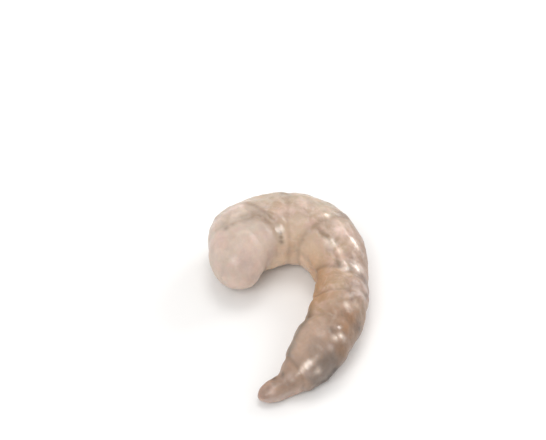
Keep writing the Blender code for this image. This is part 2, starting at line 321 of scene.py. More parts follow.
# Height of the step, widths of its rise and its fall, reach past the line's ends
COLLAR_STEP = 0.26
COLLAR_RISE = 0.14
COLLAR_FALL = 1.8
COLLAR_REACH = 6.0
COLLAR_SHADE = 0.5
COLLAR_SHADE_BEFORE = 0.45
COLLAR_SHADE_WIDTH = 0.6
SIXTH_RIDGE = ((62.0, 45), (64.5, 49), (66.4, 53), (68.2, 57), (69.6, 60), (71.0, 62),
               (73.0, 63))
RIDGE_SAMPLES = 90
RIDGE_HEIGHT = 0.20
RIDGE_WIDTH = 1.9

edge_place, edge_angle, edge_part = smooth_line(COLLAR_EDGE, COLLAR_SAMPLES)
distance, met = nearest(base, smooth_body(edge_place, np.radians(edge_angle)))
behind = np.where(W > np.interp(degrees, edge_angle, edge_place), distance, -distance)
edge_fade = fading(edge_part, 5, 5)[met]
step_shape = rising(behind, COLLAR_RISE) * np.exp(-np.maximum(behind, 0) / COLLAR_FALL)
edge_relief = COLLAR_STEP * edge_fade * step_shape * bell(distance, COLLAR_REACH)
edge_crease = COLLAR_SHADE * edge_fade * bell(behind + COLLAR_SHADE_BEFORE, COLLAR_SHADE_WIDTH)

ridge_place, ridge_angle, ridge_part = smooth_line(SIXTH_RIDGE, RIDGE_SAMPLES)
distance, met = nearest(base, smooth_body(ridge_place, np.radians(ridge_angle)))
edge_relief += RIDGE_HEIGHT * fading(ridge_part, 4, 4)[met] * bell(distance, RIDGE_WIDTH)
print("collar edge and ridge raise the skin by up to", round(float(edge_relief.max()), 2), "mm")

# %% [markdown]
# ## Belly and back
#
# The belly carries a groove down its middle with soft swellings in pairs, where the
# swimming legs were pulled off. The back has a low keel toward the tail, and each
# segment swells a little between its joints.

# %% Belly, back and segments
# Place, height and radius in mm
LEG_ROOTS = ((10.5, 0.35, 3.2), (21.0, 0.30, 3.0), (33.0, 0.40, 3.0), (44.6, 0.55, 2.8),
             (53.4, 0.30, 2.8), (63.0, 0.15, 3.0))
LEG_ROOT_ANGLES = (148, 212)
BELLY_GROOVE = 0.6
GROOVE_FROM = 6.0
GROOVE_TO = 68.0
GROOVE_FADE = 8.0
GROOVE_WIDTH = 1.4
GROOVE_SAMPLES = 120
BACK_KEEL = 0.22
KEEL_FROM = 46.0
KEEL_TO = 68.0
KEEL_FADES = (3.0, 2.0)
KEEL_WIDTH = 0.30
SEGMENT_SWELL = 0.16

belly_relief = np.zeros(W.shape)
for place, height, radius in LEG_ROOTS:
    for side in LEG_ROOT_ANGLES:
        belly_relief += height * bell(distance_from(place, side), radius)
groove = np.linspace(GROOVE_FROM, GROOVE_TO, GROOVE_SAMPLES)
distance, met = nearest(base, smooth_body(groove, np.full(groove.shape, np.pi)))
groove_fade = np.minimum(1.0, np.minimum(groove - GROOVE_FROM, GROOVE_TO - groove) / GROOVE_FADE)
belly_relief -= BELLY_GROOVE * groove_fade[met] * bell(distance, GROOVE_WIDTH)

off_back = (A + np.pi) % (2 * np.pi) - np.pi
keel_part = rising(W - KEEL_FROM, KEEL_FADES[0]) * rising(KEEL_TO - W, KEEL_FADES[1])
back_relief = BACK_KEEL * keel_part * bell(off_back, KEEL_WIDTH)
swell_places = [-FRONT_ARC, 0.0] + [row[1] for row in JOINTS] + [BODY_LENGTH + TAIL_ARC]
phase = np.interp(W, swell_places, np.arange(len(swell_places)))
segment_swell = 0.5 - 0.5 * np.cos(2 * np.pi * phase)
back_relief += SEGMENT_SWELL * segment_swell * (0.5 + 0.5 * np.cos(A))
print("belly from", round(float(belly_relief.min()), 2),
      "to", round(float(belly_relief.max()), 2), "mm")


# %% [markdown]
# ## Water on the skin
#
# The prawn is wet, and water clings in some places and runs off others. Where it lies
# it fills the small hollows, so the skin is smooth there and shines most. Such places
# are soft round patches, each given by where it is on the body and how wide it is.
# They are needed twice: here to calm the lumps, and later to make the skin shine.

# %% Soft round patches
def patches(table):
    """The strongest of the patches at each point: strength * bell(distance, radius)."""
    total = np.zeros(W.shape)
    for place, angle, radius, strength in table:
        total = np.maximum(total, strength * bell(distance_from(place, angle), radius))
    return total


# Place, angle, radius in mm, strength
WET_PATCHES = (
    (-8.1, 122, 2.0, 0.3), (9.7, 130, 1.3, 1.0), (25.0, 82, 1.0, 0.5),
    (33.1, 59, 1.5, 0.9), (34.4, 51, 1.1, 0.4), (35.6, 40, 1.1, 0.5),
    (32.9, 104, 1.6, 1.0), (35.5, 93, 0.9, 0.35), (39.8, 90, 1.4, 0.8),
    (41.0, 86, 1.4, 0.9), (40.2, 58, 1.6, 1.0), (48.5, 40, 1.2, 0.3), (50.4, 70, 1.1, 0.15),
    (52.0, 50, 1.2, 0.3), (53.4, 69, 1.2, 0.2), (60.3, 60, 0.8, 0.9), (61.5, 47, 1.6, 1.0),
    (62.9, 55, 1.0, 1.0), (65.2, 48, 1.3, 0.4), (66.6, 52, 1.4, 0.3), (68.0, 56, 1.3, 0.3),
    (69.6, 59, 1.2, 0.5), (71.0, 62, 1.2, 0.9), (72.4, 61, 1.2, 0.9), (69.8, 34, 1.1, 0.6))
FILLED_BY_WATER = 0.75
wetness = patches(WET_PATCHES)
calm = 1 - FILLED_BY_WATER * np.clip(wetness, 0, 1)
print("wet patches", len(WET_PATCHES))

# %% [markdown]
# ## Small unevenness
#
# Nothing on raw flesh is smooth: it has soft lumps a few millimetres wide that break
# the highlights up. Value noise gives them. Random heights sit on the corners of small
# cubes, and each point blends the eight corners round it. A fixed seed keeps the
# lumps the same on every run.

# %% Lumps from value noise
LATTICE = 64


def soft_noise(points, size, seed):
    """Random heights on a lattice of cubes, blended with t*t*(3-2t) between 8 corners."""
    lattice = np.random.default_rng(seed).uniform(-1.0, 1.0, (LATTICE, LATTICE, LATTICE))
    cell = np.floor(points / size).astype(int)
    t = points / size - cell
    t = t * t * (3 - 2 * t)
    total = np.zeros(points.shape[:-1])
    for corner in np.ndindex(2, 2, 2):
        i, j, k = ((cell[..., n] + corner[n]) % LATTICE for n in range(3))
        weight = np.prod(np.where(np.array(corner) == 1, t, 1 - t), axis=-1)
        total += weight * lattice[i, j, k]
    return total


UNEVENNESS = 0.14
# Height, size in mm and seed
LUMPS = ((0.13, 3.1, 5), (0.07, 1.5, 11))
WAVES_UNDER_WATER = 0.4
FACE_SMOOTHNESS = 0.55
FACE_INSIDE = 1.0
FACE_FADE = 0.6
TAIL_FOLDS = 5
TAIL_FOLD_HEIGHT = 0.13
TAIL_FOLD_TWIST = 0.12
TAIL_FOLDS_FROM = 74.0
TAIL_FOLDS_TO = 80.2
TAIL_FOLDS_FADES = (1.2, 0.7)

# Long swells: three pairs of crossing sine waves
x, y, z = base[..., 0], base[..., 1], base[..., 2]
waves = (np.sin(0.62 * x + 0.31 * y + 0.9) * np.sin(0.55 * z + 0.27 * x + 0.4)
         + 0.7 * np.sin(0.93 * y - 0.41 * x + 2.1) * np.sin(0.83 * z - 0.36 * y + 1.3)
         + 0.5 * np.sin(1.35 * x + 1.07 * y + 0.3) * np.sin(1.21 * z + 0.8 * x + 2.6))
lumps = sum(height * soft_noise(base, size, seed) for height, size, seed in LUMPS)
on_face = rising(-FACE_INSIDE - rim_side, FACE_FADE)
uneven = (UNEVENNESS * waves * (WAVES_UNDER_WATER + (1 - WAVES_UNDER_WATER) * calm)
          + lumps * (1 - FACE_SMOOTHNESS * on_face) * calm)
tail_part = (rising(W - TAIL_FOLDS_FROM, TAIL_FOLDS_FADES[0])
             * rising(TAIL_FOLDS_TO - W, TAIL_FOLDS_FADES[1]))
tail_folds = np.sin(TAIL_FOLDS * A + TAIL_FOLD_TWIST * W)
uneven += TAIL_FOLD_HEIGHT * tail_part * tail_folds
print("lumps of", round(float(lumps.std()), 3), "mm on average")

# %% [markdown]
# ## Beads of muscle
#
# Bundles of muscle stand a little proud along the ridge of the upper flank, and each
# shows as one wet highlight. A bead is a bell of the distance to a point of the body,
# so it is round whatever the body does below it.

# %% Beads that catch the light
# Place, angle, height and radius in mm
BEADS = (
    (-8.1, 122, 0.12, 2.2), (-6.0, 90, 0.10, 1.8), (2.2, 60, 0.16, 2.0), (9.4, 128, 0.16, 1.6),
    (16.0, 70, 0.12, 1.8), (22.0, 82, 0.10, 2.2), (25.0, 82, 0.16, 2.1), (28.0, 77, 0.20, 1.9),
    (30.2, 78, 0.22, 1.8), (33.3, 100, 0.30, 1.7), (35.8, 94, 0.20, 1.4), (36.0, 72, 0.10, 1.8),
    (33.4, 58, 0.26, 1.8), (40.4, 88, 0.30, 1.7), (39.4, 59, 0.22, 1.8), (41.0, 58, 0.16, 1.7),
    (47.6, 46, 0.12, 1.6), (48.6, 40, 0.14, 1.4), (50.4, 70, 0.10, 1.4), (52.0, 50, 0.12, 1.4),
    (53.4, 69, 0.10, 1.5), (57.0, 60, 0.12, 1.6), (60.3, 60, 0.12, 0.9), (62.2, 41, 0.46, 1.3),
    (63.6, 50, 0.26, 1.0), (69.8, 34, 0.14, 1.3))
for place, angle, height, radius in BEADS:
    uneven += height * bell(distance_from(place, angle), radius)
print("beads", len(BEADS))

# %% [markdown]
# ## The finished surface
#
# All the relief is added along the outward normal, and what would go below the ground
# is pressed flat, as soft flesh is where it lies. The grid becomes faces with whole
# arrays: each face joins two neighbours on one ring with the two on the next, and a
# fan of triangles closes each end.

# %% Build the mesh
relief = (rim_relief + joint_relief + furrow_relief + edge_relief + belly_relief
          + back_relief + uneven)
grid = base + relief[..., None] * outward(base)
forward = np.array((math.cos(math.radians(HEADING)), math.sin(math.radians(HEADING)), 0.0))
front_tip = smooth_body(np.array(-FRONT_ARC), np.array(0.0)) - FACE_CUSHION * forward
rear_tip = smooth_body(np.array(BODY_LENGTH + TAIL_ARC), np.array(0.0))
points = np.vstack((grid.reshape(-1, 3), front_tip, rear_tip))
points[:, 2] = np.maximum(points[:, 2], 0.0)
middle = (points.min(axis=0) + points.max(axis=0)) / 2
middle[2] = 0.0
points -= middle
print("size in mm", (points.max(axis=0) - points.min(axis=0)).round(1))


def closed_tube(rings, around):
    """Quads (i, j), (i, j+1), (i+1, j+1), (i+1, j), and a fan round each end point."""
    i, j = np.meshgrid(np.arange(rings - 1), np.arange(around), indexing="ij")
    k = (j + 1) % around
    quads = np.stack((i * around + j, i * around + k,
                      (i + 1) * around + k, (i + 1) * around + j), axis=-1).reshape(-1, 4)
    j = np.arange(around)
    k = (j + 1) % around
    tip = rings * around
    front = np.stack((np.full(around, tip), k, j), axis=-1)
    rear = np.stack((np.full(around, tip + 1), tip - around + j, tip - around + k), axis=-1)
    return quads, np.vstack((front, rear))


def mesh_from(name, points, quads, fans):
    """Fill a mesh from arrays: corner list, then where each face starts."""
    mesh = bpy.data.meshes.new(name)
    corners = np.concatenate((quads.ravel(), fans.ravel()))
    starts = np.concatenate((np.arange(len(quads)) * 4,
                             len(quads) * 4 + np.arange(len(fans)) * 3))
    mesh.vertices.add(len(points))
    mesh.vertices.foreach_set("co", (points * MM).ravel())
    mesh.loops.add(len(corners))
    mesh.loops.foreach_set("vertex_index", corners)
    mesh.polygons.add(len(starts))
    mesh.polygons.foreach_set("loop_start", starts)
    mesh.polygons.foreach_set("use_smooth", np.ones(len(starts), bool))
    mesh.update(calc_edges=True)
    mesh.validate()
    return mesh


quads, fans = closed_tube(RINGS, POINTS_ROUND)
mesh = mesh_from("prawn_flesh", points, quads, fans)
prawn = bpy.data.objects.new("prawn_flesh", mesh)
bpy.context.collection.objects.link(prawn)
print("faces", len(mesh.polygons))
print("first face normal", [round(v, 2) for v in mesh.polygons[0].normal])


# %% [markdown]
# ## Attributes for the colours
#
# The colours follow the anatomy: grey pigment on the back, warm see-through belly,
# creamy cut end. The surface already knows where it is on the body, so each point
# carries that as numbers, which the material reads. `along` is 0 at the front of the
# first segment and 1 where the tail's tip begins, below 0 on the cut end and above 1 on
# the tip. `back` is the cosine of the angle (1 on the back, -1 on the belly), `rim` is
# the distance behind the rim in millimetres, `crease_brown_and_shade` is 1 in a crease,
# where the creases' brown and painted shade go, and `band` is 1 in a ring just before
# each joint.

# %% Store the attributes
def store(mesh, name, values, front, rear):
    """One number per point: the grid's values, then those of the two end points."""
    layer = mesh.attributes.new(name, "FLOAT", "POINT")
    layer.data.foreach_set("value", np.append(values.ravel(), (front, rear)).astype(np.float32))


# Painted shade in the creases: the rim's valley, under the collar's edge, the joints, the furrow
# and the hollows of the tail's folds
RIM_DARKNESS = 0.55
TAIL_DARKNESS = 0.4
FULL_FURROW = 0.5
FRONT_RIM_SIDE = -15.0
REAR_RIM_SIDE = 60.0
rim_crease = RIM_DARKNESS * rim_strength * bell(rim_side, RIM_WIDTH)
tail_crease = TAIL_DARKNESS * tail_part * np.clip(-tail_folds, 0, 1) ** 2
creases = (joint_crease, edge_crease, -furrow_relief / FULL_FURROW, rim_crease, tail_crease)
crease_brown_and_shade = np.clip(np.maximum.reduce(creases), 0, 1)
store(mesh, "along", W / BODY_LENGTH, -FRONT_ARC / BODY_LENGTH, 1 + TAIL_ARC / BODY_LENGTH)
store(mesh, "back", np.cos(A), 0.0, 0.0)
store(mesh, "rim", rim_side, FRONT_RIM_SIDE, REAR_RIM_SIDE)
store(mesh, "crease_brown_and_shade", crease_brown_and_shade, 0.0, 0.0)
store(mesh, "band", joint_band, 0.0, 0.0)
print("attributes", [a.name for a in mesh.attributes if not a.name.startswith(".")])


# %% [markdown]
# ## Marks with a place of their own
#
# Some marks sit in one place: dark pigment left where the shell was joined, pink muscle
# and orange-brown flesh showing through. Painted light and shade are drawn the same way:
# painted shade and a painted shadow among the dark patches, painted highlights among
# the pink ones, pale patches and a streak that are painted highlights, and a grey line
# that is painted shade. Each is a set of soft round patches, or a thin line, drawn on
# the body in the same way as the creases.

# %% Patches and lines as attributes
# Place, angle, radius in mm, strength
# Dark pigment, and painted shade such as the rows on the tail at 74.9 and 74.6; the four rows at
# angles 341 to 353 are a painted shadow along the lower edge of the sixth segment
DARK_AND_SHADE_PATCHES = (
    (-3.2, 73, 1.0, 0.6), (-1.6, 80, 0.9, 0.35), (1.5, 104, 2.8, 0.14), (5.9, 76, 1.8, 0.22),
    (7.6, 94, 1.6, 0.15), (25.8, 70, 1.8, 0.15), (27.0, 92, 2.0, 0.2),
    (9.9, 138, 0.6, 0.9), (9.8, 145, 0.6, 0.9), (9.7, 152, 0.7, 0.9), (20.0, 78, 1.2, 0.3),
    (31.0, 96, 1.2, 0.35), (34.2, 112, 1.0, 0.4), (37.6, 68, 1.3, 0.7), (36.6, 78, 1.3, 0.5),
    (39.5, 99, 1.0, 0.8), (40.9, 74, 1.0, 0.7), (45.0, 52, 1.4, 0.3), (46.2, 66, 1.0, 0.35),
    (50.9, 61, 1.0, 0.8), (59.6, 80, 1.3, 0.45), (61.5, 68, 1.5, 0.9), (66.2, 76, 1.6, 0.45),
    (68.2, 74, 1.8, 0.55), (66.2, 353, 1.1, 2.0), (67.4, 344, 1.1, 2.4), (68.8, 341, 1.0, 2.0),
    (70.0, 345, 0.9, 0.9), (71.2, 32, 1.8, 0.15), (75.4, 108, 0.8, 1.1), (77.0, 123, 0.9, 1.1),
    (26.5, 136, 2.6, 0.18), (31.5, 99, 1.8, 0.22), (46.5, 76, 2.4, 0.18), (51.6, 77, 2.4, 0.26),
    (74.9, 52, 1.6, 0.6), (74.6, 26, 1.8, 0.25), (69.2, 72, 1.2, 0.5), (68.9, 52, 1.0, 0.25),
    (5.0, 120, 2.0, 0.28), (12.0, 127, 1.9, 0.42), (16.4, 122, 2.2, 0.26), (31.4, 97, 1.5, 0.35),
    (38.8, 72, 1.5, 0.8), (38.9, 86, 1.3, 0.28), (49.2, 66, 2.0, 0.75), (50.4, 79, 1.4, 0.3),
    (59.5, 66, 1.6, 0.4), (60.3, 66, 1.2, 0.35), (58.7, 79, 1.6, 0.3), (27.0, 84, 1.4, 0.3),
    (32.4, 94, 1.0, 0.4), (45.2, 61, 1.4, 0.3),
    (71.2, 76, 2.0, 0.18), (76.6, 66, 1.4, 0.4), (77.6, 92, 0.7, 0.5), (79.0, 80, 0.8, 0.4),
    (80.4, 60, 0.9, 0.3))
# Pink muscle, and painted highlights such as the patch on the cut end at -8.1
PINK_AND_HIGHLIGHT_PATCHES = (
    (-9.0, 84, 2.4, 0.2), (-8.6, 60, 2.2, 0.3), (-8.1, 122, 1.5, 0.7), (-7.5, 330, 2.5, 0.3),
    (-6.0, 62, 1.8, 0.3), (-5.2, 137, 1.9, 0.4), (-6.4, 151, 2.0, 0.4), (-3.4, 158, 2.0, 0.4),
    (78.6, 62, 1.1, 0.4), (-2.8, 39, 2.2, 0.8), (-1.3, 51, 2.0, 0.7), (0.4, 58, 1.8, 0.8),
    (2.2, 60, 2.2, 1.0), (3.8, 61, 1.8, 1.0), (5.4, 55, 1.6, 0.6), (13.0, 104, 2.2, 0.5),
    (18.6, 82, 1.8, 0.6), (27.9, 77, 1.2, 0.7), (29.6, 78, 1.6, 0.9), (31.0, 77, 1.4, 0.8),
    (39.6, 46, 1.5, 0.6), (44.6, 30, 1.6, 0.6), (47.6, 46, 1.4, 0.8), (74.7, 76, 1.0, 0.5),
    (65.2, 51, 0.9, 0.45), (71.4, 42, 1.3, 0.35), (73.4, 349, 1.6, 0.4),
    (75.6, 92, 1.0, 0.4), (7.8, 91, 1.6, 0.3), (20.4, 92, 2.2, 0.35), (24.4, 93, 1.7, 0.35))
# Painted highlights where the wet skin shines
PAINTED_HIGHLIGHT_PATCHES = (
    (51.9, 48, 0.9, 0.4), (9.7, 130, 0.9, 0.6), (25.0, 82, 1.0, 0.7), (32.0, 107, 1.2, 1.2),
    (33.4, 104, 1.1, 1.1), (35.4, 93, 1.0, 0.7), (39.7, 90, 1.1, 0.8), (41.0, 86, 1.1, 1.2),
    (43.0, 80, 0.9, 0.5), (33.0, 61, 1.2, 1.0), (34.4, 52, 0.9, 0.5), (40.1, 60, 1.5, 0.8),
    (50.4, 70, 0.9, 0.4), (53.4, 69, 0.9, 0.4), (61.5, 48, 0.9, 1.0), (62.9, 55, 0.8, 0.8),
    (69.8, 34, 0.9, 0.5))
ORANGE_PATCHES = (
    (12.0, 100, 2.2, 0.25), (25.5, 140, 2.0, 0.35), (44.5, 122, 2.2, 0.4), (51.5, 112, 2.2, 0.5),
    (55.4, 45, 2.0, 0.8), (58.4, 45, 2.2, 0.9), (61.0, 52, 1.6, 0.5), (63.0, 30, 2.0, 0.6))

# Painted highlight: a pale streak along the ridge of the sixth segment, strongest beside the tail
HIGHLIGHT_STREAK = ((64.6, 46), (66.6, 52), (68.0, 57), (69.4, 58), (71.1, 63), (72.6, 62))
HIGHLIGHT_STREAK_WIDTH = 0.7
HIGHLIGHT_STREAK_GAIN = 1.7
HIGHLIGHT_STREAK_MOST = 0.95
MARK_SAMPLES = 90
highlight_streak_place, highlight_streak_angle, highlight_streak_part = smooth_line(HIGHLIGHT_STREAK, MARK_SAMPLES)
distance, met = nearest(base, smooth_body(highlight_streak_place, np.radians(highlight_streak_angle)))
highlight_streak_fade = np.clip(highlight_streak_part ** 3 * HIGHLIGHT_STREAK_GAIN, 0, HIGHLIGHT_STREAK_MOST)
highlight_streak = highlight_streak_fade[met] * bell(distance, HIGHLIGHT_STREAK_WIDTH)

# Painted shade: a thin grey line down the inner flank, where the sixth segment turns under
TURN_SHADE_LINE = ((53.0, 148), (57.0, 144), (60.3, 137), (62.9, 141), (67.0, 140), (70.5, 136),
           (74.0, 134))
TURN_SHADE_WIDTH = 1.5
line_place, line_angle, line_part = smooth_line(TURN_SHADE_LINE, MARK_SAMPLES)
distance, met = nearest(base, smooth_body(line_place, np.radians(line_angle)))
store(mesh, "turn_shade", fading(line_part, 5, 8)[met] * bell(distance, TURN_SHADE_WIDTH), 0.0, 0.0)
store(mesh, "dark_and_shade", patches(DARK_AND_SHADE_PATCHES), 0.0, 0.0)
store(mesh, "orange", patches(ORANGE_PATCHES), 0.0, 0.0)
store(mesh, "pink_and_highlight", patches(PINK_AND_HIGHLIGHT_PATCHES), 0.0, 0.3)
store(mesh, "painted_highlight", np.maximum(patches(PAINTED_HIGHLIGHT_PATCHES), highlight_streak), 0.0, 0.0)
store(mesh, "wet", wetness, 0.0, 0.0)
print("patches", len(DARK_AND_SHADE_PATCHES), "dark,", len(PINK_AND_HIGHLIGHT_PATCHES), "pink,", len(PAINTED_HIGHLIGHT_PATCHES), "painted_highlight")

# %% [markdown]
# ## Shader maths as Python
#
# A material is a sum of masks and colours. Wrapping a socket in a small class lets the
# sums be written as ordinary expressions: `1 - mask * 0.5` adds its Math nodes by
# itself. Every other node comes from one method, so a line of code is one node.

# %% Node wrapper
class Socket:
    """A number on its way through the material."""

    def __init__(self, board, socket):
        self.board = board
        self.socket = socket

    def maths(self, kind, *others, clamp=False):
        values = dict(enumerate((self,) + others))
        return self.board.node("ShaderNodeMath", {"operation": kind, "use_clamp": clamp}, values)

    def __add__(self, other):
        return self.maths("ADD", other)

    def __mul__(self, other):
        return self.maths("MULTIPLY", other)

    def __sub__(self, other):
        return self.maths("SUBTRACT", other)

    def __rsub__(self, other):
        return (self * -1.0) + other

    __radd__ = __add__
    __rmul__ = __mul__

    def clip(self):
        return self.maths("ADD", 0.0, clamp=True)

    def step(self, low, high):
        """0 below low and 1 above high, with a smooth rise between; low may exceed high."""
        return self.board.node("ShaderNodeMapRange", {"interpolation_type": "SMOOTHSTEP"},
                               {"Value": self, "From Min": low, "From Max": high})


class Board:
    """The node tree of one material."""

    def __init__(self, name):
        self.material = bpy.data.materials.new(name)
        self.material.use_nodes = True
        self.tree = self.material.node_tree
        self.shader = self.tree.nodes["Principled BSDF"]
        self.count = 0

    def node(self, kind, settings=None, values=None, out=0):
        """Add a node, set its settings, then its sockets: numbers are set, sockets linked."""
        made = self.tree.nodes.new(kind)
        made.location = (-240 * (1 + self.count % 9), -180 * (self.count // 9))
        self.count += 1
        for name, value in (settings or {}).items():
            setattr(made, name, value)
        for name, value in (values or {}).items():
            self.feed(made.inputs[name], value)
        return Socket(self, made.outputs[out])

    def feed(self, target, value):
        if isinstance(value, Socket):
            self.tree.links.new(value.socket, target)
        else:
            target.default_value = value

    def attribute(self, name):
        return self.node("ShaderNodeAttribute", {"attribute_name": name}, out="Fac")

    def mix(self, mask, first, second):
        """Colour mix: first where the mask is 0, second where it is 1."""
        return self.node("ShaderNodeMix", {"data_type": "RGBA"},
                         {0: mask, 6: first, 7: second}, out=2)

    def multiply(self, colour, factor):
        """Colour times a grey number, which darkens below 1 and lightens above it."""
        return self.node("ShaderNodeVectorMath", {"operation": "SCALE"},
                         {0: colour, "Scale": factor})

    def noise(self, vector, size_mm, detail=2.0, roughness=0.5, distortion=0.0):
        """Cloudy pattern whose blobs are about size_mm across."""
        return self.node("ShaderNodeTexNoise", {},
                         {"Vector": vector, "Scale": 1.0 / (size_mm * MM), "Detail": detail,
                          "Roughness": roughness, "Distortion": distortion}, out="Fac")


def paint(red, green, blue):
    """Turn a colour read from a screen (0 to 255) into the linear light Blender mixes."""
    def linear(v):
        v = v / 255
        return v / 12.92 if v <= 0.04045 else ((v + 0.055) / 1.055) ** 2.4
    return (linear(red), linear(green), linear(blue), 1.0)


print("paint check", [round(v, 3) for v in paint(203, 175, 151)])

# %% [markdown]
# ## Raw flesh
#
# Raw prawn flesh is milky and lets light a few millimetres in, so edges glow and
# shadows stay soft: subsurface scattering does that, with red travelling furthest.
# Over it lies a film of water, which is a clear coat with small highlights. The colour
# starts with clouds of pink and tan. Over them come the pale back, the warm belly, the
# brown rear, the grey sixth segment and the pinkish tail, then the grey pigment cells,
# the pale cut end with painted light on its far side, and last the marks that sit in one
# place, among them painted highlights and painted shade, and the creases with their
# painted shade.

# %% Colours of the flesh
FLESH_PINK = paint(197, 169, 153)
FLESH_TAN = paint(181, 155, 129)
BACK_WHITE = paint(190, 176, 159)
BACK_MAUVE = paint(176, 149, 133)
BELLY_PALE = paint(225, 200, 176)
BELLY_WARM = paint(180, 143, 108)
REAR_BROWN = paint(156, 126, 102)
SIXTH_FLESH = paint(180, 155, 138)
SIXTH_GREY = paint(124, 112, 104)
TAIL_BEIGE = paint(168, 142, 124)
TAIL_PINK = paint(164, 138, 127)
# Painted light for the far side of the cut end, turned into the curl
TAIL_EDGE = paint(196, 178, 170)
FACE_CREAM = paint(198, 181, 167)
FACE_PINK = paint(210, 186, 174)
FACE_PAINTED_LIGHT = paint(223, 202, 188)
# Pink muscle, also the colour of some painted highlights
PATCH_PINK_AND_HIGHLIGHT = paint(228, 206, 197)
# Colour of the painted highlights
PATCH_HIGHLIGHT = paint(243, 222, 205)
PATCH_ORANGE = paint(178, 134, 98)
# Dark pigment, also the colour of painted shade and a painted shadow
PATCH_DARK_AND_SHADE = paint(88, 74, 64)
# Painted shade for the grey line where the inner flank turns under
TURN_SHADE_GREY = paint(118, 106, 92)
# Brown of the creases, which also paints their shade
CREASE_BROWN_AND_SHADE = paint(138, 112, 92)
PIGMENT = paint(96, 86, 82)
print("darkest and lightest reds", round(PATCH_DARK_AND_SHADE[0], 3), round(PATCH_HIGHLIGHT[0], 3))

# %% What the colours follow
# The attributes of the surface, and three cloudy patterns of different sizes
board = Board("raw_prawn_flesh")
where = board.node("ShaderNodeTexCoord", out="Object")
along = board.attribute("along")
back = board.attribute("back")
rim = board.attribute("rim")
crease_brown_and_shade_mask = board.attribute("crease_brown_and_shade")
band_mask = board.attribute("band")
dark_and_shade_mask = board.attribute("dark_and_shade")
pink_and_highlight_mask = board.attribute("pink_and_highlight")
painted_highlight_mask = board.attribute("painted_highlight")
orange_mask = board.attribute("orange")
wet_mask = board.attribute("wet")
turn_shade_mask = board.attribute("turn_shade")

clouds = board.noise(where, 7.0, detail=3.0, roughness=0.55)
blotches = board.noise(where, 3.0, detail=3.0, roughness=0.6, distortion=0.8)
streaks = board.noise(where, 1.6, detail=3.0, roughness=0.6, distortion=0.6)

# Where on the body, along it and round it, with a blotchy edge to every border
place = along + ((clouds - 0.5) * 0.06 + (blotches - 0.5) * 0.05)
turned = back + (blotches - 0.5) * 0.7
print("nodes so far", board.count)

# %% From the front to the tail
# In each mask step(a, b) is 0 at a and 1 at b, so it says where a colour begins and ends
colour = board.mix(blotches.step(0.35, 0.65), FLESH_TAN, FLESH_PINK)
white_back = turned.step(-0.25, 0.35) * place.step(0.42, 0.30)
colour = board.mix(white_back * 0.72, colour, BACK_WHITE)
mauve_back = turned.step(0.0, 0.5) * place.step(0.30, 0.42) * place.step(0.70, 0.60)
colour = board.mix(mauve_back * 0.7, colour, BACK_MAUVE)
belly_mask = turned.step(-0.25, -0.8)
belly_colour = board.mix(place.step(0.34, 0.56), BELLY_PALE, BELLY_WARM)
colour = board.mix(belly_mask * 0.85, colour, belly_colour)
rear_mask = place.step(0.62, 0.76) * turned.step(-0.75, 0.1)
colour = board.mix(rear_mask * 0.9, colour, REAR_BROWN)
sixth_mask = place.step(0.75, 0.84) * place.step(0.985, 0.93)
colour = board.mix(sixth_mask * turned.step(0.9, 0.2) * 0.85, colour, SIXTH_FLESH)
grey_side = (back + (blotches - 0.5) * 0.4).step(0.30, 0.85)
grey_mask = place.step(0.80, 0.88) * place.step(0.99, 0.93) * grey_side
colour = board.mix(grey_mask * 0.8, colour, SIXTH_GREY)
tail_mask = place.step(0.93, 0.975)
colour = board.mix(tail_mask, colour, TAIL_BEIGE)
colour = board.mix(along.step(1.0, 1.08) * 0.7, colour, TAIL_PINK)
tail_edge = place.step(0.96, 1.02) * back.step(0.84, 0.98)
colour = board.mix(tail_edge * 0.6, colour, TAIL_EDGE)
print("nodes so far", board.count)

# %% Light and dark
# One grey factor for the whole colour: mottled, and darker on the back and front flank
EVEN_LIGHT = 0.95
edge_shade = back.step(0.25, 0.95) * place.step(0.20, 0.30) * place.step(0.92, 0.82) * 0.24
mottle = (streaks - 0.5) * 0.22 + (blotches - 0.5) * 0.38 + (clouds - 0.5) * 0.2
flank_shade = back.step(0.2, -0.1) * back.step(-0.95, -0.75) * place.step(0.5, 0.35) * 0.06
mottle = mottle + (EVEN_LIGHT - edge_shade - flank_shade)
print("nodes so far", board.count)

# %% Grey pigment cells
# Voronoi cells a millimetre or less wide; each is dark only near its middle, and a
# second pattern decides how crowded they are, most on the back and the sixth segment.
LARGE_CELL = 0.95
SMALL_CELL = 0.45
cells = board.node("ShaderNodeTexVoronoi", {},
                   {"Vector": where, "Scale": 1.0 / (LARGE_CELL * MM)}, out="Distance")
small_cells = board.node("ShaderNodeTexVoronoi", {},
                         {"Vector": where, "Scale": 1.0 / (SMALL_CELL * MM)}, out="Distance")
crowd = board.noise(where, 4.0, detail=2.0)
back_bands = band_mask * back.step(-0.1, 0.95) * crowd.step(0.30, 0.60)
pigment_zone = (back.step(-0.35, 0.7) * 0.45 + grey_mask * 0.4) * rim.step(-0.5, 4.0)
colour = board.mix((back_bands * 0.5).clip(), colour, PIGMENT)
spots = cells.step(0.34, 0.12) * crowd.step(0.42, 0.62)
dots = small_cells.step(0.30, 0.10) * crowd.step(0.36, 0.58)
speckle = pigment_zone * (spots * 0.3 + dots * 0.25) + back_bands * spots * 0.4
colour = board.mix(speckle.clip(), colour, PIGMENT)
print("pigment cells", LARGE_CELL, "and", SMALL_CELL, "mm apart")

# %% Cut end
face_mask = rim.step(0.6, -2.0)
face_colour = board.mix((clouds * 0.6 + blotches * 0.4).step(0.42, 0.58), FACE_PINK, FACE_CREAM)
